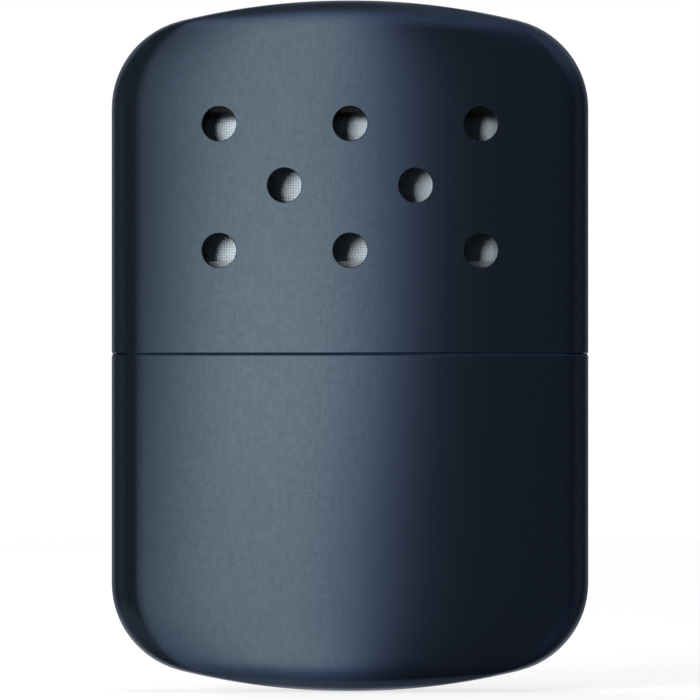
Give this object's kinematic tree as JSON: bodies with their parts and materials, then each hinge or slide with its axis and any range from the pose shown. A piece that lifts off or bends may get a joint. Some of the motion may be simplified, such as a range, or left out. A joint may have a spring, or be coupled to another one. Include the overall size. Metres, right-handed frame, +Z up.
{
  "type": "catalytic hand warmer",
  "caption": "Flat pocket catalytic hand warmer: a drawn fuel tank packed with cotton, a catalytic burner on its oval neck and a vented lid that pulls off.",
  "frame": {"origin": "lowest point of the domed base, on the case's centre line, where it rests in its pouch or pocket", "axes": "+Z up from the base to the lid, the front face towards -Y, +X to the right seen from the front"},
  "size_m": [0.067, 0.014, 0.097],
  "materials": {
    "case_paint": "satin",
    "bright_plate": "polished",
    "burner_steel": "satin",
    "felt": "matte",
    "cotton": "matte",
    "glass_fibre": "matte",
    "glass_wool": "matte"
  },
  "bodies": {
    "tank": {"base_shell": "case_paint", "tank_collar": "bright_plate", "filler_neck": "bright_plate", "neck_gauze": "burner_steel", "neck_felt": "felt", "wadding_cover": "felt", "cotton_batt_1": "cotton", "cotton_batt_2": "cotton", "cotton_batt_3": "cotton", "cotton_batt_4": "cotton", "cotton_batt_5": "cotton"},
    "lid": {"lid_shell": "case_paint"},
    "burner": {"burner_skirt": "burner_steel", "burner_casing": "burner_steel", "burner_cap": "burner_steel", "burner_grid": "burner_steel", "catalyst_cloth": "glass_fibre", "support_gauze": "burner_steel", "catalyst_core": "glass_wool", "casing_rivets": "burner_steel"}
  },
  "joints": [
    {"name": "lid_lift", "type": "slide", "parent": "tank", "child": "lid", "axis": [0, 0, 1], "range_m": [0, 0.06]},
    {"name": "burner_lift", "type": "slide", "parent": "tank", "child": "burner", "axis": [0, 0, 1], "range_m": [0, 0.008]}
  ]
}
